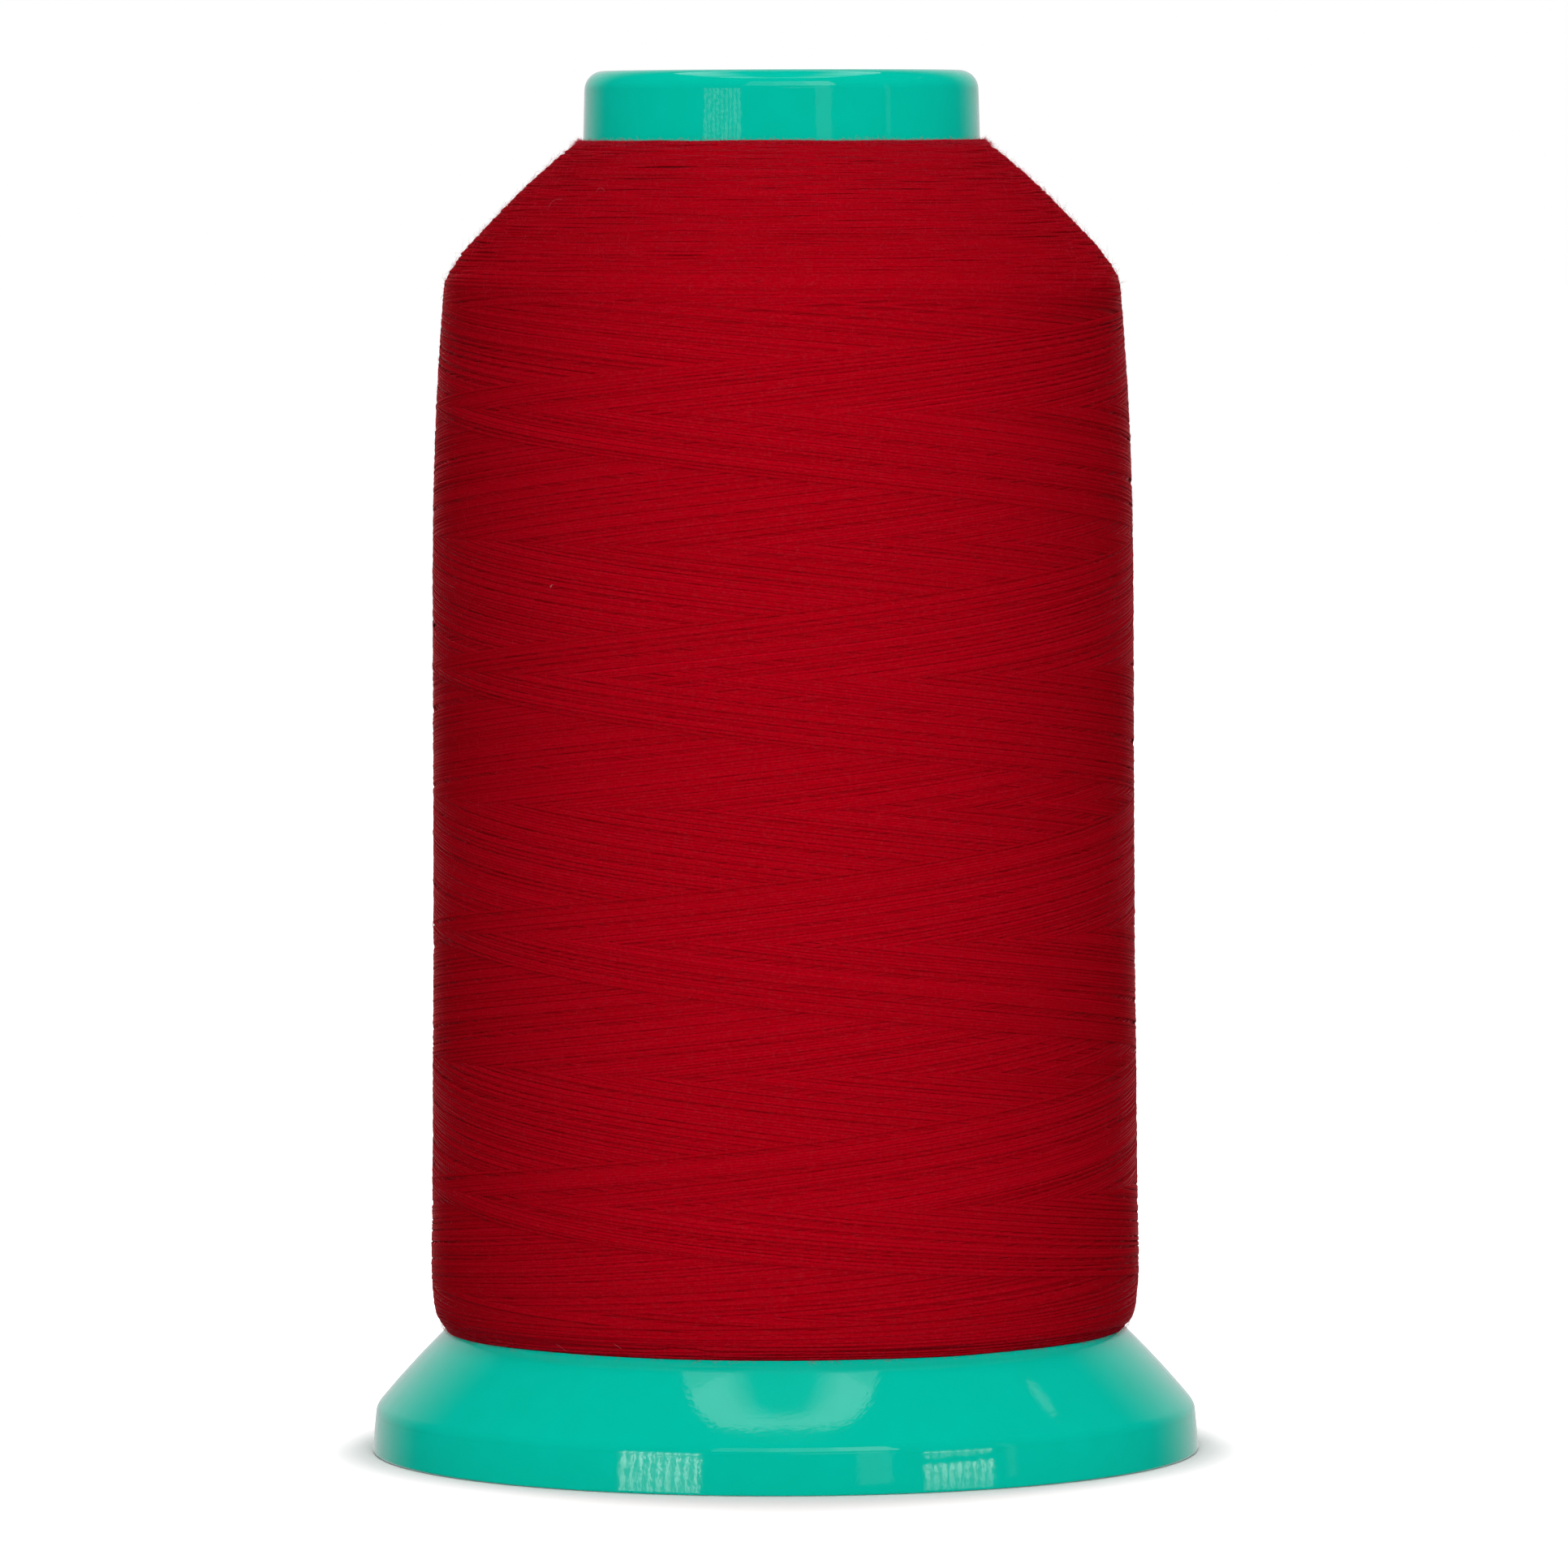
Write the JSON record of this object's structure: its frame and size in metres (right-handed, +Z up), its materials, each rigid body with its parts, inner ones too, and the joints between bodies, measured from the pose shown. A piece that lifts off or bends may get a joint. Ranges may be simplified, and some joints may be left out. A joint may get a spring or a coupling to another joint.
{
  "type": "spool of sewing thread",
  "caption": "Large upright spool of polyester sewing thread, cross-wound on a hollow plastic barrel, with a flared flange as its foot and a snap-in base that locks the thread's tail.",
  "frame": {"origin": "centre of the foot, on the surface that the spool stands on", "axes": "+Z up along the spool's axis, from the foot to the collar; X and Y are alike, with a snap finger on each"},
  "size_m": [0.069, 0.069, 0.115],
  "materials": {
    "spool_plastic": "glossy injection-moulded polypropylene",
    "thread": "twisted polyester thread, matt with a soft sheen"
  },
  "bodies": {
    "spool": {"spool_body": "spool_plastic", "thread_package": "thread", "thread_outer_layer": "thread"},
    "tail_lock_base": {"snap_base": "spool_plastic"}
  },
  "joints": [
    {"name": "base_release", "type": "slide", "parent": "spool", "child": "tail_lock_base", "axis": [0, 0, -1], "range_m": [0, 0.004]}
  ]
}
